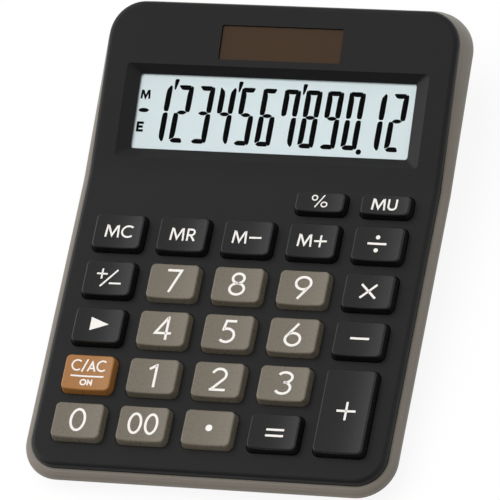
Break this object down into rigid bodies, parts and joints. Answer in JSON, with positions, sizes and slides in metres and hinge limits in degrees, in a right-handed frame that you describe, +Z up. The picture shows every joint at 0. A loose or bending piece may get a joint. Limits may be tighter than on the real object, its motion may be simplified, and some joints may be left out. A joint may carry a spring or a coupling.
{
  "type": "desk calculator",
  "caption": "Low desk calculator with a tilted display and solar window above a grid of dished keys that press in, on rubber feet.",
  "frame": {"origin": "on the resting plane under the middle of the case", "axes": "+X to the right of the user, +Y to the rear edge behind the display, +Z up"},
  "size_m": [0.1064, 0.143, 0.0301],
  "materials": {
    "black_case": "fine satin texture",
    "taupe_case": "satin metallic paint",
    "clear_lens": "clear, polished",
    "display_glass": "pale reflective display",
    "inner_plastic": "plain moulded",
    "ribbon_film": "flexible printed film",
    "solar_window": "smoked brown, polished",
    "solar_cell": "dark cell under glass",
    "lead_wire": "insulated wire",
    "board": "green solder mask",
    "resin": "glossy black resin",
    "capacitor_can": "drawn can",
    "silicone": "pale moulded silicone",
    "cell_steel": "nickelled steel",
    "contact_steel": "sprung nickelled sheet",
    "screw_steel": "zinc plated",
    "foot_rubber": "matt rubber",
    "black_key": "satin moulded",
    "taupe_key": "satin moulded",
    "orange_key": "satin moulded"
  },
  "bodies": {
    "case": {"upper_case": "black_case", "lower_case": "taupe_case", "display_lens": "clear_lens", "lcd_panel": "display_glass", "lcd_holder": "inner_plastic", "lcd_ribbon": "ribbon_film", "solar_window": "solar_window", "solar_cell": "solar_cell", "solar_leads": "lead_wire", "circuit_board": "board", "controller_chip": "resin", "smoothing_capacitor": "capacitor_can", "keypad_mat": "silicone", "button_cell": "cell_steel", "cell_contact_positive": "contact_steel", "cell_contact_negative": "contact_steel", "battery_door": "taupe_case", "battery_door_screw": "screw_steel", "case_screws": "screw_steel", "board_screws": "screw_steel", "foot_front_left": "foot_rubber", "foot_front_right": "foot_rubber", "foot_rear_left": "foot_rubber", "foot_rear_right": "foot_rubber"},
    "key_0": {"key_0": "taupe_key"},
    "key_1": {"key_1": "taupe_key"},
    "key_2": {"key_2": "taupe_key"},
    "key_3": {"key_3": "taupe_key"},
    "key_4": {"key_4": "taupe_key"},
    "key_5": {"key_5": "taupe_key"},
    "key_6": {"key_6": "taupe_key"},
    "key_7": {"key_7": "taupe_key"},
    "key_8": {"key_8": "taupe_key"},
    "key_9": {"key_9": "taupe_key"},
    "key_00": {"key_00": "taupe_key"},
    "key_point": {"key_point": "taupe_key"},
    "key_equals": {"key_equals": "black_key"},
    "key_plus": {"key_plus": "black_key"},
    "key_minus": {"key_minus": "black_key"},
    "key_multiply": {"key_multiply": "black_key"},
    "key_divide": {"key_divide": "black_key"},
    "key_percent": {"key_percent": "black_key"},
    "key_mark_up": {"key_mark_up": "black_key"},
    "key_sign": {"key_sign": "black_key"},
    "key_delete": {"key_delete": "black_key"},
    "key_clear": {"key_clear": "orange_key"},
    "key_memory_clear": {"key_memory_clear": "black_key"},
    "key_memory_recall": {"key_memory_recall": "black_key"},
    "key_memory_minus": {"key_memory_minus": "black_key"},
    "key_memory_plus": {"key_memory_plus": "black_key"}
  },
  "joints": [
    {"name": "key_0_press", "type": "slide", "parent": "case", "child": "key_0", "axis": [0, 0.0872, -0.9962], "range_m": [0, 0.0013], "stiffness_N_per_m": 450, "springref_m": -0.0003, "deforming": ["keypad_mat"]},
    {"name": "key_1_press", "type": "slide", "parent": "case", "child": "key_1", "axis": [0, 0.0872, -0.9962], "range_m": [0, 0.0013], "stiffness_N_per_m": 450, "springref_m": -0.0003, "deforming": ["keypad_mat"]},
    {"name": "key_2_press", "type": "slide", "parent": "case", "child": "key_2", "axis": [0, 0.0872, -0.9962], "range_m": [0, 0.0013], "stiffness_N_per_m": 450, "springref_m": -0.0003, "deforming": ["keypad_mat"]},
    {"name": "key_3_press", "type": "slide", "parent": "case", "child": "key_3", "axis": [0, 0.0872, -0.9962], "range_m": [0, 0.0013], "stiffness_N_per_m": 450, "springref_m": -0.0003, "deforming": ["keypad_mat"]},
    {"name": "key_4_press", "type": "slide", "parent": "case", "child": "key_4", "axis": [0, 0.0872, -0.9962], "range_m": [0, 0.0013], "stiffness_N_per_m": 450, "springref_m": -0.0003, "deforming": ["keypad_mat"]},
    {"name": "key_5_press", "type": "slide", "parent": "case", "child": "key_5", "axis": [0, 0.0872, -0.9962], "range_m": [0, 0.0013], "stiffness_N_per_m": 450, "springref_m": -0.0003, "deforming": ["keypad_mat"]},
    {"name": "key_6_press", "type": "slide", "parent": "case", "child": "key_6", "axis": [0, 0.0872, -0.9962], "range_m": [0, 0.0013], "stiffness_N_per_m": 450, "springref_m": -0.0003, "deforming": ["keypad_mat"]},
    {"name": "key_7_press", "type": "slide", "parent": "case", "child": "key_7", "axis": [0, 0.0872, -0.9962], "range_m": [0, 0.0013], "stiffness_N_per_m": 450, "springref_m": -0.0003, "deforming": ["keypad_mat"]},
    {"name": "key_8_press", "type": "slide", "parent": "case", "child": "key_8", "axis": [0, 0.0872, -0.9962], "range_m": [0, 0.0013], "stiffness_N_per_m": 450, "springref_m": -0.0003, "deforming": ["keypad_mat"]},
    {"name": "key_9_press", "type": "slide", "parent": "case", "child": "key_9", "axis": [0, 0.0872, -0.9962], "range_m": [0, 0.0013], "stiffness_N_per_m": 450, "springref_m": -0.0003, "deforming": ["keypad_mat"]},
    {"name": "key_00_press", "type": "slide", "parent": "case", "child": "key_00", "axis": [0, 0.0872, -0.9962], "range_m": [0, 0.0013], "stiffness_N_per_m": 450, "springref_m": -0.0003, "deforming": ["keypad_mat"]},
    {"name": "key_point_press", "type": "slide", "parent": "case", "child": "key_point", "axis": [0, 0.0872, -0.9962], "range_m": [0, 0.0013], "stiffness_N_per_m": 450, "springref_m": -0.0003, "deforming": ["keypad_mat"]},
    {"name": "key_equals_press", "type": "slide", "parent": "case", "child": "key_equals", "axis": [0, 0.0872, -0.9962], "range_m": [0, 0.0013], "stiffness_N_per_m": 450, "springref_m": -0.0003, "deforming": ["keypad_mat"]},
    {"name": "key_plus_press", "type": "slide", "parent": "case", "child": "key_plus", "axis": [0, 0.0872, -0.9962], "range_m": [0, 0.0013], "stiffness_N_per_m": 450, "springref_m": -0.0003, "deforming": ["keypad_mat"]},
    {"name": "key_minus_press", "type": "slide", "parent": "case", "child": "key_minus", "axis": [0, 0.0872, -0.9962], "range_m": [0, 0.0013], "stiffness_N_per_m": 450, "springref_m": -0.0003, "deforming": ["keypad_mat"]},
    {"name": "key_multiply_press", "type": "slide", "parent": "case", "child": "key_multiply", "axis": [0, 0.0872, -0.9962], "range_m": [0, 0.0013], "stiffness_N_per_m": 450, "springref_m": -0.0003, "deforming": ["keypad_mat"]},
    {"name": "key_divide_press", "type": "slide", "parent": "case", "child": "key_divide", "axis": [0, 0.0872, -0.9962], "range_m": [0, 0.0013], "stiffness_N_per_m": 450, "springref_m": -0.0003, "deforming": ["keypad_mat"]},
    {"name": "key_percent_press", "type": "slide", "parent": "case", "child": "key_percent", "axis": [0, 0.0872, -0.9962], "range_m": [0, 0.0013], "stiffness_N_per_m": 450, "springref_m": -0.0003, "deforming": ["keypad_mat"]},
    {"name": "key_mark_up_press", "type": "slide", "parent": "case", "child": "key_mark_up", "axis": [0, 0.0872, -0.9962], "range_m": [0, 0.0013], "stiffness_N_per_m": 450, "springref_m": -0.0003, "deforming": ["keypad_mat"]},
    {"name": "key_sign_press", "type": "slide", "parent": "case", "child": "key_sign", "axis": [0, 0.0872, -0.9962], "range_m": [0, 0.0013], "stiffness_N_per_m": 450, "springref_m": -0.0003, "deforming": ["keypad_mat"]},
    {"name": "key_delete_press", "type": "slide", "parent": "case", "child": "key_delete", "axis": [0, 0.0872, -0.9962], "range_m": [0, 0.0013], "stiffness_N_per_m": 450, "springref_m": -0.0003, "deforming": ["keypad_mat"]},
    {"name": "key_clear_press", "type": "slide", "parent": "case", "child": "key_clear", "axis": [0, 0.0872, -0.9962], "range_m": [0, 0.0013], "stiffness_N_per_m": 450, "springref_m": -0.0003, "deforming": ["keypad_mat"]},
    {"name": "key_memory_clear_press", "type": "slide", "parent": "case", "child": "key_memory_clear", "axis": [0, 0.0872, -0.9962], "range_m": [0, 0.0013], "stiffness_N_per_m": 450, "springref_m": -0.0003, "deforming": ["keypad_mat"]},
    {"name": "key_memory_recall_press", "type": "slide", "parent": "case", "child": "key_memory_recall", "axis": [0, 0.0872, -0.9962], "range_m": [0, 0.0013], "stiffness_N_per_m": 450, "springref_m": -0.0003, "deforming": ["keypad_mat"]},
    {"name": "key_memory_minus_press", "type": "slide", "parent": "case", "child": "key_memory_minus", "axis": [0, 0.0872, -0.9962], "range_m": [0, 0.0013], "stiffness_N_per_m": 450, "springref_m": -0.0003, "deforming": ["keypad_mat"]},
    {"name": "key_memory_plus_press", "type": "slide", "parent": "case", "child": "key_memory_plus", "axis": [0, 0.0872, -0.9962], "range_m": [0, 0.0013], "stiffness_N_per_m": 450, "springref_m": -0.0003, "deforming": ["keypad_mat"]}
  ]
}
